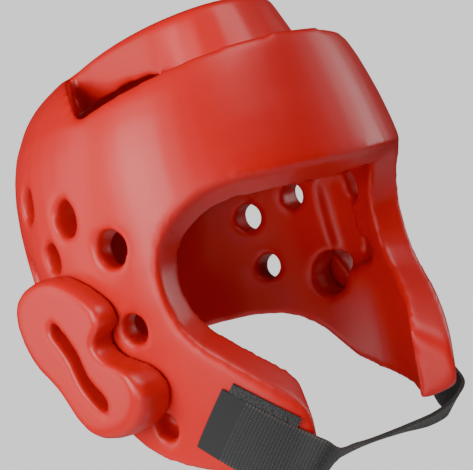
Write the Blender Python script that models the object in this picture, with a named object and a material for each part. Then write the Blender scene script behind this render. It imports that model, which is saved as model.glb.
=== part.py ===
"""Dipped foam head guard with a closed elastic chin strap.

Metres, +Z up, the face opening toward -Y, the wearer's left at +X.
The origin is the crown's inner face, where the top of a head bears.
Heights in the tables are millimetres from eye level; EYE lowers them to the origin.
"""
import bmesh
import bpy
import math
from mathutils import Vector

MM = 0.001
EYE = 102.0
NOSE = 2.15
HOLE = 19.0
BAND_EDGE = 72.25
BAND_FALL = 0.1875
CUP_FACE = 111.5
CUP_SLOT = 9.0
STRAP_WIDTH = 32.0
STRAP_THICK = 2.0
PATCH_THICK = 1.4
GAP = 0.35

# outer skin by height: half width, front reach, back reach
SKIN = [
    (-150, 80, 82, 82),
    (-130, 84.5, 86.4, 87),
    (-100, 89.9, 90.5, 98.7),
    (-80, 92.6, 92.8, 108),
    (-60, 94.9, 94.5, 116.4),
    (-40, 97, 95.4, 122.5),
    (-20, 98.5, 95.8, 126.3),
    (0, 99, 95.6, 128.5),
    (20, 98.9, 95, 129.3),
    (35, 98, 93.2, 129.2),
    (50, 95.7, 90.8, 128.5),
    (62, 92.6, 88.6, 126.6),
    (74, 88, 86.6, 123),
    (86, 80, 84.6, 117.5),
    (88.5, 78, 84.1, 116),
    (90, 77, 70, 114.5),
    (96, 71, 69.5, 109.5),
    (100, 65.5, 69, 104.5),
    (105.5, 57, 68, 93),
    (109, 49.5, 66.5, 79),
    (112, 43, 63, 62),
    (115, 33.5, 53, 46),
    (118, 20, 36, 30),
    (120, 9, 16, 15),
]
# hollow by height: half width, front reach, back reach
HOLLOW = [
    (-160, 60, 62, 62),
    (-130, 64.5, 66.4, 67),
    (-100, 69.9, 70.5, 78.7),
    (-60, 74.9, 74.5, 96.4),
    (-20, 78.5, 75.8, 106.3),
    (20, 78.9, 75, 109.3),
    (40, 77.4, 72, 108.6),
    (56, 72.5, 68, 106),
    (70, 65, 62.5, 101.5),
    (80, 56.5, 56, 96),
    (88, 46, 49, 89),
    (95, 33, 39, 76),
    (99.5, 20, 27, 57),
    (102, 9, 12, 34),
]
# face opening on the outer skin, near half: degrees from the brow's centre, height
FACE = [
    (0, 21.5), (9, 21.6), (18, 22), (27, 22.8), (37, 23.8), (46, 22.6), (53, 18), (59, 12), (63, 5),
    (65.5, -3), (66.5, -12), (66.5, -22), (65, -34), (61, -45), (54, -56.5), (48, -66), (42.5, -75),
    (38, -82.5), (35.4, -89), (35, -96), (36, -106), (36, -128), (36, -165),
]
# lower edge seen from the side: distance behind the middle, height
LOWER = [
    (140, -49), (85, -49), (70, -50.5), (54, -54), (41, -60), (28, -69), (18, -79), (8, -88.5), (-6, -96),
    (-24, -102.5), (-44, -108.5), (-58, -111.5), (-67, -109.5), (-74, -105), (-79, -98), (-100, -94),
]
# crown strip's side, left half from the back: sideways and backward at the band's edge, then high above it
CROWN = [
    (47, 46, 40, 50),
    (47, 20, 39.5, 20),
    (46.5, -5, 39, -5),
    (45.5, -25, 38, -20),
    (41.5, -42, 33.5, -34),
    (35, -53, 27, -43),
    (26, -61.5, 19, -49),
    (14, -67.5, 10, -52.5),
    (0, -69.5, 0, -53.5),
]
# outer end of the step that frees the crown strip: sideways, backward
STEP = [(88.5, -11.5), (130, -32), (130, -130)]
# vents on each side: backward, height, share of the hole's width, depth
VENTS = [
    (51, 44.5, 1.0, 34),
    (10, 30.5, 1.0, 34),
    (-19, 9.5, 1.0, 34),
    (32, 14, 0.84, 34),
    (69, 9, 0.9, 34),
    (64, -25, 0.84, 34),
    (-18, -30, 0.8, 34),
    (-14, -79, 0.8, 13),
]
# one ear cup's rim: backward, height
CUP = [
    (58.5, -5), (54.5, -0.5), (47, 3.2), (38, 5), (29, 5.4), (18.5, 4.4), (9, 0.8), (0.4, -4.1), (-6.4, -9.1),
    (-12, -14.7), (-13.9, -20), (-12, -24.5), (-7.5, -27.5), (-3, -31), (-5, -36.5), (-11, -41.5), (-18.5, -44.6),
    (-24.5, -48.4), (-28.2, -54), (-29, -60), (-25.5, -67.5), (-18, -73.8), (-9, -77.2), (2, -78.4), (13, -77.8),
    (22, -74.2), (29, -67), (33.2, -59.5), (37.8, -51.8), (44, -45), (51, -38.8), (56, -31.5), (59.4, -22.5),
    (60.6, -13),
]
# middle line of the slot through the cup
CUP_LINE = [(25.4, -21), (19.5, -29), (15.6, -36), (14.2, -42), (12.2, -48.5), (7.7, -54.6), (2.7, -59.5)]
# strap over the right cheek: degrees, height of its middle, lean of its width
STRAP_NEAR = [(-65.3, -78, 43), (-59, -87.5, 43), (-52.5, -97.5, 42), (-46, -107, 40)]
# free stretch under the chin: upper edge sideways, backward, height; width's sideways, backward, downward shares
STRAP_FREE = [
    (-54.5, -81.5, -103, -0.30, 0.60, 0.74),
    (-44, -76.5, -109.5, -0.22, 0.72, 0.66),
    (-31, -67.5, -113.5, -0.12, 0.86, 0.50),
    (-16, -58.5, -116.5, -0.05, 0.93, 0.37),
    (0, -53, -119.5, 0.0, 0.96, 0.28),
    (18, -50.5, -121.5, 0.0, 0.97, 0.24),
    (36, -51, -122.5, 0.03, 0.97, 0.24),
    (53, -53.5, -122.5, 0.12, 0.95, 0.30),
    (66, -58, -119, 0.22, 0.86, 0.46),
    (75.5, -61, -111.5, 0.26, 0.76, 0.60),
]
# strap over the left cheek: degrees, height of its middle, lean of its width
STRAP_FAR = [(62, -111, -43), (66.5, -102, -43), (71, -93, -43), (75, -85, -43)]
# hook tape under the strap's free end: degrees, height of its middle
BASE = [(-62.2, -77.5), (-57, -85.5), (-51.5, -94), (-46.5, -101.5)]


def reset():
    for ob in list(bpy.data.objects):
        bpy.data.objects.remove(ob, do_unlink=True)
    for col in list(bpy.data.collections):
        bpy.data.collections.remove(col)


def collection(name):
    col = bpy.data.collections.new(name)
    bpy.context.scene.collection.children.link(col)
    return col


def material(name, colour, roughness):
    mat = bpy.data.materials.new(name)
    mat.use_nodes = True
    shader = mat.node_tree.nodes["Principled BSDF"]
    shader.inputs["Base Color"].default_value = (*colour, 1.0)
    shader.inputs["Roughness"].default_value = roughness
    return mat


def smooth_at(table, height, column):
    """Value of one column at a height, along a curve through the rows without overshoot."""
    rows = sorted(table)
    if height <= rows[0][0]:
        return rows[0][column]
    if height >= rows[-1][0]:
        return rows[-1][column]
    k = max(i for i in range(len(rows) - 1) if rows[i][0] <= height)
    lo, hi = rows[k], rows[k + 1]
    return lo[column] + (hi[column] - lo[column]) * (height - lo[0]) / (hi[0] - lo[0])


def skin_point(table, degrees, height, out=0.0):
    """Point of a rounded-oval skin; 0 degrees is the brow's centre, positive toward +X."""
    a = math.radians(degrees)
    s, c = math.sin(a), math.cos(a)
    half = smooth_at(table, height, 1)
    reach = smooth_at(table, height, 2 if c > 0 else 3)
    x = math.copysign(abs(s) ** (2.0 / NOSE), s) * (half + out)
    y = -math.copysign(abs(c) ** (2.0 / NOSE), c) * (reach + out)
    return Vector((x, y, height))


def skin_normal(table, degrees, height):
    along = skin_point(table, degrees + 1.0, height) - skin_point(table, degrees - 1.0, height)
    up = skin_point(table, degrees, height + 4.0) - skin_point(table, degrees, height - 4.0)
    return along.cross(up).normalized()


def skin_angle(back, height):
    """Degrees of the +X skin point that lies this far back at this height."""
    reach = smooth_at(SKIN, height, 3 if back > 0 else 2)
    c = (min(abs(back) / reach, 1.0)) ** (NOSE / 2.0)
    return math.degrees(math.acos(-c if back > 0 else c))


def mesh_object(name, points, faces, col, mat=None):
    mesh = bpy.data.meshes.new(name)
    mesh.from_pydata([(p[0] * MM, p[1] * MM, (p[2] - EYE) * MM) for p in points], [], faces)
    mesh.validate()
    shape = bmesh.new()
    shape.from_mesh(mesh)
    bmesh.ops.recalc_face_normals(shape, faces=shape.faces)
    shape.to_mesh(mesh)
    shape.free()
    ob = bpy.data.objects.new(name, mesh)
    col.objects.link(ob)
    if mat:
        mesh.materials.append(mat)
    return ob


def loft(name, rings, col, mat=None):
    """Closed body through rings of equal count, flat lids at both ends."""
    count = len(rings[0])
    points = [p for ring in rings for p in ring]
    faces = []
    for i in range(len(rings) - 1):
        for j in range(count):
            k = (j + 1) % count
            faces.append((i * count + j, i * count + k, (i + 1) * count + k, (i + 1) * count + j))
    faces.append(tuple(reversed(range(count))))
    faces.append(tuple((len(rings) - 1) * count + j for j in range(count)))
    return mesh_object(name, points, faces, col, mat)


def oval_body(name, table, count, col, mat=None, out=0.0):
    rings = []
    for row in table:
        rings.append([skin_point(table, 360.0 * j / count + 180.0 / count, row[0], out) for j in range(count)])
    return loft(name, rings, col, mat)


def prism(name, outline, near, far, place, col, mat=None):
    """Straight body between two copies of an outline; place turns (u, v, depth) into a point."""
    rings = [[place(u, v, depth) for u, v in outline] for depth in (near, far)]
    return loft(name, rings, col, mat)


def boolean(ob, tool, operation):
    mod = ob.modifiers.new(operation.lower() + " " + tool.name, "BOOLEAN")
    mod.operation = operation
    mod.solver = "EXACT"
    mod.object = tool
    return mod


def boolean_all(ob, tools, operation):
    mod = ob.modifiers.new(operation.lower() + " " + tools.name, "BOOLEAN")
    mod.operation = operation
    mod.solver = "EXACT"
    mod.operand_type = "COLLECTION"
    mod.collection = tools
    return mod


def hide_cutters(col):
    for ob in col.all_objects:
        ob.hide_render = True
        ob.display_type = "WIRE"


def face_cutter(col):
    """Flaring body through the face opening, its sides square to the foam wall."""
    eye = Vector((0, -8, -15))
    half = [skin_point(SKIN, d, h) for d, h in FACE]
    other = [Vector((-p.x, p.y, p.z)) for p in half[1:]]
    outline = list(reversed(other)) + half
    rings = []
    for scale in (0.34, 0.7, 3.0):
        rings.append([eye + (p - eye) * scale for p in outline])
    return loft("face opening", rings, col)


def crown_cutter(col):
    """Step cut down to the band's edge all round the crown strip, open to the hollow at both sides."""
    left = [(x, y, u, v) for x, y, u, v in CROWN]
    right = [(-x, y, -u, v) for x, y, u, v in reversed(left[:-1])]
    start = [(x, y, x, y) for x, y in reversed(STEP)]
    end = [(-x, y, -x, y) for x, y in STEP]
    rows = start + left + right + end
    floor = [(x, y, BAND_EDGE - BAND_FALL * y) for x, y, u, v in rows]
    lid = [(u, v, EYE + 23.0) for x, y, u, v in rows]
    loft("crown step", [floor, lid], col)


def vent_cutters(col):
    for side in (-1, 1):
        for i, (back, height, share, deep) in enumerate(VENTS):
            degrees = skin_angle(back, height) * side
            point = skin_point(SKIN, degrees, height)
            normal = skin_normal(SKIN, degrees, height)
            tube(f"vent {i} {side}", point, normal, HOLE * share / 2.0, deep, col)
        point = skin_point(SKIN, skin_angle(16, -37) * side, -37)
        tube(f"ear opening {side}", point, Vector((side, 0, 0)), 13.0, 34, col, 24)


def tube(name, point, normal, radius, deep, col, count=16):
    across = normal.cross(Vector((0, 0, 1))).normalized()
    up = across.cross(normal).normalized()
    rings = []
    for depth in (-deep, 14.0):
        ring = []
        for j in range(count):
            a = 2.0 * math.pi * j / count
            ring.append(point + normal * depth + across * math.cos(a) * radius + up * math.sin(a) * radius)
        rings.append(ring)
    return loft(name, rings, col)


def ear_pockets(col):
    """Shallow hollows in the inner wall over each ear."""
    for side in (-1, 1):
        rings = []
        for depth, grow in ((58, 1.0), (82, 1.0), (86, 0.72)):
            ring = []
            for j in range(20):
                a = 2.0 * math.pi * j / 20
                y = -2 + 12 * grow * math.copysign(abs(math.cos(a)) ** 0.6, math.cos(a))
                z = -8 + 30 * grow * math.copysign(abs(math.sin(a)) ** 0.6, math.sin(a))
                ring.append((side * depth, y, z))
            rings.append(ring)
        loft(f"ear pocket {side}", rings, col)


def stroke(line, width):
    """Outline of a line drawn with a round-ended pen."""
    left, right = [], []
    for i, p in enumerate(line):
        q = line[max(i - 1, 0)]
        r = line[min(i + 1, len(line) - 1)]
        t = Vector((r[0] - q[0], r[1] - q[1])).normalized() * (width / 2.0)
        left.append((p[0] - t.y, p[1] + t.x))
        right.append((p[0] + t.y, p[1] - t.x))
    ends = []
    for p, q in ((line[-1], line[-2]), (line[0], line[1])):
        t = Vector((p[0] - q[0], p[1] - q[1])).normalized() * (width / 2.0)
        ends.append([(p[0] + t.x * 0.7 - t.y * 0.7, p[1] + t.y * 0.7 + t.x * 0.7), (p[0] + t.x, p[1] + t.y),
                     (p[0] + t.x * 0.7 + t.y * 0.7, p[1] + t.y * 0.7 - t.x * 0.7)])
    return left + ends[0] + list(reversed(right)) + ends[1]


def ear_cup(side, col, cutters, clearance, mat):
    name = "ear_cup_" + ("left" if side > 0 else "right")
    cy = sum(p[0] for p in CUP) / len(CUP)
    cz = sum(p[1] for p in CUP) / len(CUP)
    outline = CUP if side > 0 else list(reversed(CUP))
    rings = []
    for depth, share in ((70.0, 1.0), (CUP_FACE - 5.5, 1.0), (CUP_FACE - 1.6, 0.965), (CUP_FACE, 0.89)):
        rings.append([(side * depth, cy + (y - cy) * share, cz + (z - cz) * share) for y, z in outline])
    ob = loft(name, rings, col, mat)
    slot = stroke(CUP_LINE, CUP_SLOT)
    slot = slot if side > 0 else list(reversed(slot))
    tool = prism(name + "_slot", slot, 60.0, 140.0, lambda u, v, d: (side * d, u, v), cutters)
    boolean(ob, clearance, "DIFFERENCE")
    boolean(ob, tool, "DIFFERENCE")
    return ob


def ribbon(name, rows, thick, col, mat):
    """Flat band through rows of points; the rows lie on its inner face."""
    across = len(rows[0])
    points, faces = [], []
    for i, row in enumerate(rows):
        before = rows[max(i - 1, 0)]
        after = rows[min(i + 1, len(rows) - 1)]
        for j, p in enumerate(row):
            tangent = after[j] - before[j]
            width = row[min(j + 1, across - 1)] - row[max(j - 1, 0)]
            normal = width.cross(tangent).normalized()
            points.append(p)
            points.append(p + normal * thick)

    def at(i, j, k):
        return (i * across + j) * 2 + k

    last = len(rows) - 1
    for i in range(last):
        for j in range(across - 1):
            faces.append((at(i, j, 0), at(i + 1, j, 0), at(i + 1, j + 1, 0), at(i, j + 1, 0)))
            faces.append((at(i, j, 1), at(i, j + 1, 1), at(i + 1, j + 1, 1), at(i + 1, j, 1)))
        faces.append((at(i, 0, 0), at(i, 0, 1), at(i + 1, 0, 1), at(i + 1, 0, 0)))
        faces.append((at(i, across - 1, 0), at(i + 1, across - 1, 0), at(i + 1, across - 1, 1), at(i, across - 1, 1)))
    for j in range(across - 1):
        faces.append((at(0, j, 0), at(0, j + 1, 0), at(0, j + 1, 1), at(0, j, 1)))
        faces.append((at(last, j, 0), at(last, j, 1), at(last, j + 1, 1), at(last, j + 1, 0)))
    return mesh_object(name, points, faces, col, mat)


def on_skin(degrees, height, lean, width, out, across=5):
    """Row of points across a band lying on the outer skin; lean tips the row's foot forward."""
    here = skin_point(SKIN, degrees, height)
    step = skin_point(SKIN, degrees + 1.0, height) - skin_point(SKIN, degrees - 1.0, height)
    per_degree = step.length / 2.0
    row = []
    for j in range(across):
        t = width * (j / (across - 1) - 0.5)
        turn = degrees + math.sin(math.radians(lean)) * -t / per_degree
        level = here.z - math.cos(math.radians(lean)) * t
        p = skin_point(SKIN, turn, level)
        row.append(p + skin_normal(SKIN, turn, level) * out)
    return row


def chin_strap(col, mat):
    out = GAP * 2 + PATCH_THICK
    rows = [on_skin(d, h, lean, STRAP_WIDTH, out) for d, h, lean in STRAP_NEAR]
    for x, y, z, wx, wy, wz in STRAP_FREE:
        width = Vector((wx, wy, -wz)).normalized() * STRAP_WIDTH
        rows.append([Vector((x, y, z)) + width * (j / 4.0) for j in range(5)])
    rows += [on_skin(d, h, lean, STRAP_WIDTH, out) for d, h, lean in STRAP_FAR]
    rows = fair(rows, 3)
    return ribbon("chin_strap", rows, STRAP_THICK, col, mat)


def fair(rows, parts):
    """Rows along a smooth curve through the given rows."""
    out = []
    for i in range(len(rows) - 1):
        for k in range(parts):
            t = k / parts
            out.append([spline(rows, i, j, t) for j in range(len(rows[0]))])
    out.append(rows[-1])
    return out


def spline(rows, i, j, t):
    p0 = rows[max(i - 1, 0)][j]
    p1 = rows[i][j]
    p2 = rows[i + 1][j]
    p3 = rows[min(i + 2, len(rows) - 1)][j]
    a = p1 * 2
    b = (p2 - p0) * t
    c = (p0 * 2 - p1 * 5 + p2 * 4 - p3) * t * t
    d = (p1 * 3 - p0 - p2 * 3 + p3) * t * t * t
    return (a + b + c + d) * 0.5


def main():
    reset()
    guard = collection("head guard")
    cutters = collection("cutters")
    shell_cutters = bpy.data.collections.new("shell cutters")
    cutters.children.link(shell_cutters)
    red = material("dipped vinyl", (0.58, 0.02, 0.015), 0.3)
    black = material("elastic", (0.02, 0.02, 0.022), 0.85)
    hook = material("hook tape", (0.012, 0.012, 0.013), 0.9)

    shell = oval_body("shell", SKIN, 56, guard, red)
    hollow = oval_body("hollow", HOLLOW, 56, shell_cutters)
    face_cutter(shell_cutters)
    crown_cutter(shell_cutters)
    vent_cutters(shell_cutters)
    ear_pockets(shell_cutters)
    line = list(reversed(LOWER))
    outline = line + [(140, -190), (-130, -190), (-130, -96)]
    prism("neck opening", outline, -140.0, 140.0, lambda u, v, d: (d, u, v), shell_cutters)
    boolean_all(shell, shell_cutters, "DIFFERENCE")

    clearance = oval_body("clearance", SKIN, 56, cutters, None, GAP)
    for side in (-1, 1):
        ear_cup(side, guard, cutters, clearance, red)
    chin_strap(guard, black)
    rows = [on_skin(d, h, 43, STRAP_WIDTH + 2.0, GAP) for d, h in BASE]
    ribbon("strap_base", fair(rows, 2), PATCH_THICK, guard, hook)
    hide_cutters(cutters)


main()
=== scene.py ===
import math
import bpy
from mathutils import Vector, Matrix


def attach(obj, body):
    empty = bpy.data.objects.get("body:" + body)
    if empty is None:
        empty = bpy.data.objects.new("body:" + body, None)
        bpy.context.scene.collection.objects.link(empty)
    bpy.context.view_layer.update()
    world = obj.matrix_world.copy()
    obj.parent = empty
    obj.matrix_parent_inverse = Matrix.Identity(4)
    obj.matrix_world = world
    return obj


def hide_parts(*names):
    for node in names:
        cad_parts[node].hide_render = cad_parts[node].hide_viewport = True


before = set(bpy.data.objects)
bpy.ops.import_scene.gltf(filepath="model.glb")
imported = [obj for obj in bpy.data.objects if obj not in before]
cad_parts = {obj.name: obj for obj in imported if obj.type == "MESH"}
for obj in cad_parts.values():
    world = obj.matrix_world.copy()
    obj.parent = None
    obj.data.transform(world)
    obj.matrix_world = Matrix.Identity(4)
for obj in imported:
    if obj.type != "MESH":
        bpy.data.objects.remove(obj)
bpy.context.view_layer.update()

MM = 0.001
EYE = 102.0
PICTURE_WIDE = 473.0
CAMERA = {"turn": -42.0, "tip": -0.5, "lean": 16.4, "reach": 0.600, "focal": 1110.0, "sensor": 36.0}
GROUND = (0.60, 0.60, 0.60, 1)
GROUND_SEEN = 1.85
GROUND_LIGHT = 0.05
FLOOR_SIZE = 2.8
FLOOR_LEVEL = -0.78
LAMPS = [
    # name, place, aim, size, watts
    ("left softbox", (-1.45, -0.08, 0.35), (0, 0, -0.10), (0.9, 1.2), 36),
    ("front softbox", (0.10, -1.05, 1.15), (0, 0, -0.06), (0.8, 0.8), 15),
    ("low left card", (-1.25, -0.80, -0.30), (0, 0, -0.12), (0.6, 0.9), 7),
    ("right rim", (1.35, -0.55, 0.10), (0, 0, -0.10), (0.4, 1.2), 8),
    ("left back rim", (-0.90, 1.00, 0.20), (0, 0, -0.10), (0.5, 1.2), 6),
]


def deselect():
    if bpy.context.object and bpy.context.object.mode != "OBJECT":
        bpy.ops.object.mode_set(mode="OBJECT")
    bpy.ops.object.select_all(action="DESELECT")


def new_material(name):
    mat = bpy.data.materials.new(name)
    mat.use_nodes = True
    return mat, mat.node_tree, mat.node_tree.nodes["Principled BSDF"].inputs


def place_camera():
    turn, tip, lean = (math.radians(CAMERA[key]) for key in ("turn", "tip", "lean"))
    back = Vector((math.sin(turn) * math.cos(tip), -math.cos(turn) * math.cos(tip), math.sin(tip)))
    side = Vector((math.cos(turn), math.sin(turn), 0))
    up = back.cross(side)
    data = bpy.data.cameras.new("camera")
    data.sensor_fit = "HORIZONTAL"
    data.sensor_width = CAMERA["sensor"]
    data.lens = CAMERA["focal"] * CAMERA["sensor"] / PICTURE_WIDE
    cam = bpy.data.objects.new("camera", data)
    bpy.context.scene.collection.objects.link(cam)
    rolled_side = side * math.cos(lean) - up * math.sin(lean)
    rolled_up = back.cross(rolled_side)
    turned = Matrix((rolled_side, rolled_up, back)).transposed()
    eyes = Vector((0, 0, -EYE * MM))
    cam.matrix_world = Matrix.Translation(eyes + back * CAMERA["reach"]) @ turned.to_4x4()
    bpy.context.scene.camera = cam


def lamp(name, place, aim, size, watts):
    data = bpy.data.lights.new(name, "AREA")
    data.shape = "RECTANGLE"
    data.size, data.size_y = size
    data.energy = watts
    ob = bpy.data.objects.new(name, data)
    bpy.context.scene.collection.objects.link(ob)
    ob.location = place
    ob.rotation_euler = (Vector(aim) - Vector(place)).to_track_quat("-Z", "Y").to_euler()


def pale_ground():
    """Ground that the camera sees bright, and that hardly lights the hollow."""
    world = bpy.data.worlds.new("studio")
    bpy.context.scene.world = world
    world.use_nodes = True
    new, link = world.node_tree.nodes.new, world.node_tree.links.new
    ground = world.node_tree.nodes["Background"].inputs
    ground["Color"].default_value = GROUND
    sight = new("ShaderNodeLightPath")
    level = new("ShaderNodeMapRange")
    level.inputs["To Min"].default_value = GROUND_LIGHT
    level.inputs["To Max"].default_value = GROUND_SEEN
    link(sight.outputs["Is Camera Ray"], level.inputs["Value"])
    link(level.outputs["Result"], ground["Strength"])


place_camera()
for row in LAMPS:
    lamp(*row)
pale_ground()
deselect()
bpy.ops.mesh.primitive_plane_add(size=FLOOR_SIZE, location=(0, 0, FLOOR_LEVEL))
floor = bpy.context.object
floor.name = "floor"
paper, tree, look = new_material("pale paper")
look["Base Color"].default_value = (0.62, 0.62, 0.625, 1)
look["Roughness"].default_value = 0.9
floor.data.materials.append(paper)

# Dipped foam skin.
# Shell and ear cups are cut foam, glued and dipped in liquid vinyl, so every edge and hole is
# rounded by the coat, which pools and wrinkles in the corners and dries to a soft gloss.
DEEP_RED = (0.26, 0.003, 0.003, 1)
LIT_RED = (0.52, 0.006, 0.005, 1)
GLOSSY = 0.34
DULL = 0.46
SHELL_VOXEL = 0.0018
SHELL_PASSES = 20
CUP_VOXEL = 0.0014
CUP_PASSES = 12
FOLD_DEPTH = 5.0
POOLS = [
    # x, y, z where edges meet on the left half, and reach, metres; the right half has the same
    ((0.052, 0.034, -0.010), 0.020),
    ((0.047, 0.020, -0.018), 0.012),
    ((0.084, -0.052, -0.092), 0.012),
    ((0.060, -0.080, -0.082), 0.010),
    ((0.097, -0.016, -0.132), 0.014),
    ((0.091, -0.014, -0.180), 0.010),
]


def effect_group(name, takes, gives):
    """Empty node group with named inputs and outputs."""
    group = bpy.data.node_groups.new(name, "ShaderNodeTree")
    for in_out, sockets in (("INPUT", takes), ("OUTPUT", gives)):
        for label, kind in sockets.items():
            group.interface.new_socket(name=label, in_out=in_out, socket_type="NodeSocket" + kind)
    return group, group.nodes.new("NodeGroupInput").outputs, group.nodes.new("NodeGroupOutput").inputs


def place_group(tree, group, values):
    node = tree.nodes.new("ShaderNodeGroup")
    node.node_tree = group
    for label, value in values.items():
        node.inputs[label].default_value = value
    return node.outputs


def feed(tree, socket, value):
    """Link an output to a socket, or set the socket to a number."""
    if isinstance(value, (int, float)):
        socket.default_value = value
    else:
        tree.links.new(value, socket)


def maths(tree, kind, *values):
    node = tree.nodes.new("ShaderNodeMath")
    node.operation = kind
    for socket, value in zip(node.inputs, values):
        feed(tree, socket, value)
    return node.outputs["Value"]


def blend(tree, kind, factor, a, b):
    node = tree.nodes.new("ShaderNodeMix")
    node.data_type = kind
    for label, value in (("Factor", factor), ("A", a), ("B", b)):
        feed(tree, node.inputs[label], value)
    return node.outputs["Result"]


def spread(tree, value, from_min, from_max, to_min, to_max):
    node = tree.nodes.new("ShaderNodeMapRange")
    node.inputs["From Min"].default_value = from_min
    node.inputs["From Max"].default_value = from_max
    node.inputs["To Min"].default_value = to_min
    node.inputs["To Max"].default_value = to_max
    feed(tree, node.inputs["Value"], value)
    return node.outputs["Result"]


def noise(tree, place, scale, detail=2.0, rough=0.5):
    node = tree.nodes.new("ShaderNodeTexNoise")
    node.inputs["Scale"].default_value = scale
    node.inputs["Detail"].default_value = detail
    node.inputs["Roughness"].default_value = rough
    tree.links.new(place, node.inputs["Vector"])
    return node.outputs["Fac"]


def bumped(tree, look, height, strength, depth):
    bump = tree.nodes.new("ShaderNodeBump")
    bump.inputs["Strength"].default_value = strength
    bump.inputs["Distance"].default_value = depth
    tree.links.new(height, bump.inputs["Height"])
    tree.links.new(bump.outputs["Normal"], look["Normal"])


def pooled(tree, place):
    """Mask that is 1 at each pool of coat, on both halves, and fades to 0 at its reach."""
    new, link = tree.nodes.new, tree.links.new
    split = new("ShaderNodeSeparateXYZ")
    link(place, split.inputs["Vector"])
    folded = new("ShaderNodeCombineXYZ")
    link(maths(tree, "ABSOLUTE", split.outputs["X"]), folded.inputs["X"])
    link(split.outputs["Y"], folded.inputs["Y"])
    link(split.outputs["Z"], folded.inputs["Z"])
    mask = 0.0
    for spot, reach in POOLS:
        far = new("ShaderNodeVectorMath")
        far.operation = "DISTANCE"
        far.inputs[1].default_value = spot
        link(folded.outputs["Vector"], far.inputs[0])
        mask = maths(tree, "MAXIMUM", mask, spread(tree, far.outputs["Value"], 0.0, reach, 1.0, 0.0))
    return mask


def coat_effect():
    takes = {"Deep": "Color", "Lit": "Color", "Gloss": "Float", "Dull": "Float"}
    gives = {"Color": "Color", "Roughness": "Float", "Height": "Float"}
    tree, source, sink = effect_group("dipped coat", takes, gives)
    place = tree.nodes.new("ShaderNodeTexCoord").outputs["Object"]
    cloud = spread(tree, noise(tree, place, 9, 4), 0.35, 0.65, 0.0, 1.0)
    shade = spread(tree, cloud, 0.0, 1.0, 0.80, 1.0)
    folds = maths(tree, "MULTIPLY", noise(tree, place, 210, 5, 0.7), pooled(tree, place))
    pores = maths(tree, "MULTIPLY", noise(tree, place, 900, 2), 0.05)
    grain = maths(tree, "MULTIPLY_ADD", noise(tree, place, 70, 3), 0.25, pores)
    feed(tree, sink["Color"], blend(tree, "RGBA", shade, source["Deep"], source["Lit"]))
    feed(tree, sink["Roughness"], blend(tree, "FLOAT", cloud, source["Gloss"], source["Dull"]))
    feed(tree, sink["Height"], maths(tree, "MULTIPLY_ADD", folds, FOLD_DEPTH, grain))
    return tree


vinyl, tree, look = new_material("red dipped vinyl")
coat = place_group(tree, coat_effect(), {"Deep": DEEP_RED, "Lit": LIT_RED, "Gloss": GLOSSY, "Dull": DULL})
feed(tree, look["Base Color"], coat["Color"])
feed(tree, look["Roughness"], coat["Roughness"])
bumped(tree, look, coat["Height"], 0.25, 0.0012)
look["Specular IOR Level"].default_value = 0.32
look["Coat Weight"].default_value = 0.06
look["Coat Roughness"].default_value = 0.18


def dip(node, name, voxel, passes):
    """Copy of a foam body with its edges rounded by the coat."""
    ob = bpy.data.objects.new(name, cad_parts[node].data.copy())
    bpy.context.scene.collection.objects.link(ob)
    deselect()
    ob.select_set(True)
    bpy.context.view_layer.objects.active = ob
    bpy.ops.object.mode_set(mode="EDIT")
    bpy.ops.mesh.select_all(action="SELECT")
    bpy.ops.mesh.remove_doubles(threshold=0.00001)
    bpy.ops.object.mode_set(mode="OBJECT")
    remesh = ob.modifiers.new("voxels", "REMESH")
    remesh.mode = "VOXEL"
    remesh.voxel_size = voxel
    bpy.ops.object.modifier_apply(modifier="voxels")
    smooth = ob.modifiers.new("rounding", "SMOOTH")
    smooth.factor = 0.5
    smooth.iterations = passes
    bpy.ops.object.modifier_apply(modifier="rounding")
    bpy.ops.object.shade_smooth()
    ob.data.materials.clear()
    ob.data.materials.append(vinyl)
    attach(ob, "root")
    return ob


shell_skin = dip("shell", "shell_skin", SHELL_VOXEL, SHELL_PASSES)
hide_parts("shell")
for side in ("right", "left"):
    cup = dip("ear_cup_" + side, "ear_cup_skin_" + side, CUP_VOXEL, CUP_PASSES)
    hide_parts("ear_cup_" + side)

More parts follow.
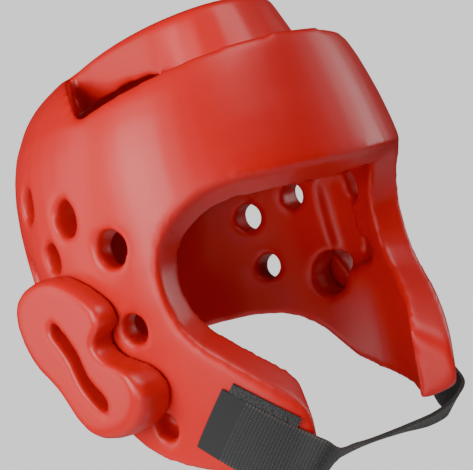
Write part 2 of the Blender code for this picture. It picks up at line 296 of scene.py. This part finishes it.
# Chin strap.
# Black woven elastic, 32 mm wide and 2 mm thick, fixed to the left cheek, looped under the chin and
# closed on the hook tape of the right cheek; about 254 mm long between its two ends.
STRAP_WIDTH = 32.0
STRAP_THICK = 1.9
SELVAGE = 0.5
LABEL_LONG = 12.0
RIB_PITCH = 1.25
PICK_PITCH = 1.6
HEM_FROM = 0.463
STRAP = [
    # upper edge x y z, middle x y z, lower edge x y z of the inner face, millimetres
    (-82.9, -52.5, -168.5, -86.8, -42.1, -180.2, -89.2, -31.1, -192.0),
    (-76.2, -60.7, -178.0, -81.2, -50.6, -189.8, -84.7, -40.0, -201.5),
    (-68.5, -67.8, -187.9, -74.4, -58.5, -199.8, -78.7, -48.4, -211.7),
    (-60.3, -73.6, -197.0, -66.7, -65.2, -209.3, -71.7, -56.1, -221.6),
    (-54.5, -81.5, -205.0, -59.3, -71.9, -216.9, -64.1, -62.3, -228.7),
    (-44.0, -76.5, -211.5, -47.5, -65.0, -222.0, -51.0, -53.5, -232.6),
    (-31.0, -67.5, -215.5, -32.9, -53.8, -223.5, -34.8, -40.0, -231.5),
    (-16.0, -58.5, -218.5, -16.8, -43.7, -224.4, -17.6, -28.8, -230.3),
    (0.0, -53.0, -221.5, 0.0, -37.6, -226.0, 0.0, -22.3, -230.5),
    (18.0, -50.5, -223.5, 18.0, -35.0, -227.3, 18.0, -19.4, -231.2),
    (36.0, -51.0, -224.5, 36.5, -35.5, -228.3, 37.0, -20.0, -232.2),
    (53.0, -53.5, -224.5, 54.9, -38.4, -229.3, 56.8, -23.2, -234.1),
    (66.0, -58.0, -221.0, 69.5, -44.2, -228.4, 73.0, -30.5, -235.7),
    (75.5, -61.0, -213.5, 79.6, -48.9, -223.1, 83.8, -36.7, -232.7),
    (76.3, -55.5, -201.6, 80.2, -45.0, -213.4, 82.6, -34.0, -225.1),
    (81.2, -49.9, -192.6, 84.5, -39.1, -204.3, 86.1, -27.9, -216.1),
    (85.7, -43.7, -183.6, 88.2, -32.8, -195.3, 89.2, -21.5, -207.1),
    (89.2, -37.7, -175.5, 91.0, -26.7, -187.3, 91.5, -15.3, -199.0),
]


def smooth_between(a, b, c, d, t):
    """Point a share t of the way from b to c on a smooth curve through all four."""
    square = (a * 2 - b * 5 + c * 4 - d) * t * t
    cube = (b * 3 - a - c * 3 + d) * t * t * t
    return (b * 2 + (c - a) * t + square + cube) * 0.5


def strap_point(u, v):
    """Point of the strap's inner face: u rows along it, v from 0 at the upper edge to 1."""
    i = min(int(u), len(STRAP) - 2)
    rows = [STRAP[min(max(k, 0), len(STRAP) - 1)] for k in (i - 1, i, i + 1, i + 2)]
    edges = [smooth_between(*[Vector(row[k:k + 3]) for row in rows], u - i) for k in (0, 3, 6)]
    mix = edges[0] * (1 - v) * (1 - 2 * v) + edges[1] * 4 * v * (1 - v) + edges[2] * v * (2 * v - 1)
    return mix * MM


def woven_effect():
    takes = {"Yarn": "Color", "Painted Gap Shade": "Color", "Thread": "Color", "Patch": "Color", "Patch End": "Float",
             "Width": "Float", "Ribs": "Float", "Picks": "Float"}
    tree, source, sink = effect_group("woven elastic", takes, {"Color": "Color", "Height": "Float"})
    place = tree.nodes.new("ShaderNodeUVMap")
    place.uv_map = "weave"
    split = tree.nodes.new("ShaderNodeSeparateXYZ")
    tree.links.new(place.outputs["UV"], split.inputs["Vector"])
    across, along = split.outputs["Y"], split.outputs["X"]

    def wave(run, rate):
        turn = maths(tree, "MULTIPLY", run, source[rate])
        return maths(tree, "MULTIPLY_ADD", maths(tree, "SINE", turn), 0.5, 0.5)

    ribs, picks = wave(across, "Ribs"), wave(along, "Picks")
    fuzz = noise(tree, place.outputs["UV"], 1500)
    # Yarn crests take the yarn colour and the troughs between ribs and picks take a much darker painted
    # shade; the fine fuzz noise adds random tone.
    fuzz_crests_and_gap_shade = maths(tree, "MULTIPLY_ADD", fuzz, 0.5, maths(tree, "MULTIPLY", ribs, picks))
    cloth = blend(tree, "RGBA", fuzz_crests_and_gap_shade, source["Painted Gap Shade"], source["Yarn"])
    share = maths(tree, "DIVIDE", across, source["Width"])
    off = maths(tree, "ABSOLUTE", maths(tree, "SUBTRACT", share, 0.5))
    hem = maths(tree, "MULTIPLY", maths(tree, "GREATER_THAN", off, HEM_FROM), picks)
    edged = blend(tree, "RGBA", hem, cloth, source["Thread"])
    bare = maths(tree, "LESS_THAN", along, source["Patch End"])
    feed(tree, sink["Color"], blend(tree, "RGBA", bare, edged, source["Patch"]))
    feed(tree, sink["Height"], maths(tree, "MAXIMUM", maths(tree, "SUBTRACT", fuzz_crests_and_gap_shade, bare), 0.0))
    return tree


elastic, tree, look = new_material("black elastic")
weave = place_group(tree, woven_effect(), {
    "Yarn": (0.024, 0.024, 0.026, 1),
    # painted shade for the gaps between the yarns, darker than the black yarn itself
    "Painted Gap Shade": (0.004, 0.004, 0.004, 1),
    "Thread": (0.050, 0.036, 0.028, 1),
    "Patch": (0.008, 0.008, 0.009, 1),
    "Patch End": LABEL_LONG * MM,
    "Width": STRAP_WIDTH * MM,
    "Ribs": 2 * math.pi / (RIB_PITCH * MM),
    "Picks": 2 * math.pi / (PICK_PITCH * MM),
})
feed(tree, look["Base Color"], weave["Color"])
bumped(tree, look, weave["Height"], 0.7, 0.0004)
look["Roughness"].default_value = 0.8
look["Sheen Weight"].default_value = 0.08


def make_strap(along=150, across=16, steps=400):
    deselect()
    bpy.ops.mesh.primitive_grid_add(x_subdivisions=along, y_subdivisions=across, size=1.0)
    ob = bpy.context.object
    ob.name = "chin_strap_webbing"
    mesh = ob.data
    last = len(STRAP) - 1
    grid = [((v.co.x + 0.5) * last, v.co.y + 0.5) for v in mesh.vertices]
    for v, (u, w) in zip(mesh.vertices, grid):
        v.co = strap_point(u, w)
    run = [0.0]
    for i in range(steps):
        a = strap_point(last * i / steps, 0.5)
        b = strap_point(last * (i + 1) / steps, 0.5)
        run.append(run[-1] + (b - a).length)
    layer = mesh.uv_layers.active or mesh.uv_layers.new()
    layer.name = "weave"
    for loop in mesh.loops:
        u, w = grid[loop.vertex_index]
        k = u / last * steps
        i = min(int(k), steps - 1)
        layer.data[loop.index].uv = (run[i] + (run[i + 1] - run[i]) * (k - i), w * STRAP_WIDTH * MM)
    wall = ob.modifiers.new("thickness", "SOLIDIFY")
    wall.thickness = STRAP_THICK * MM
    wall.offset = 1.0
    bpy.context.view_layer.objects.active = ob
    bpy.ops.object.modifier_apply(modifier="thickness")
    edge = ob.modifiers.new("selvage", "BEVEL")
    edge.width = SELVAGE * MM
    edge.segments = 2
    edge.angle_limit = math.radians(50)
    bpy.ops.object.modifier_apply(modifier="selvage")
    bpy.ops.object.shade_smooth_by_angle(angle=math.radians(40))
    mesh.materials.append(elastic)
    return ob, run[-1]


strap, strap_length = make_strap()
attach(strap, "root")
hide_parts("chin_strap")

# Hook tape.
# A patch of black hook tape fixed on the right cheek; the strap closes over it and leaves its upper
# edge bare.
hooks, tree, look = new_material("black hook tape")
stubble = tree.nodes.new("ShaderNodeTexVoronoi")
stubble.inputs["Scale"].default_value = 900
feed(tree, stubble.inputs["Vector"], tree.nodes.new("ShaderNodeTexCoord").outputs["Object"])
ramp = tree.nodes.new("ShaderNodeValToRGB")
ramp.color_ramp.elements[0].color = (0.030, 0.030, 0.031, 1)
ramp.color_ramp.elements[1].color = (0.005, 0.005, 0.005, 1)
feed(tree, ramp.inputs["Fac"], stubble.outputs["Distance"])
feed(tree, look["Base Color"], ramp.outputs["Color"])
bumped(tree, look, stubble.outputs["Distance"], 0.8, 0.0005)
look["Roughness"].default_value = 0.75
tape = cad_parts["strap_base"]
tape.data.materials.clear()
tape.data.materials.append(hooks)
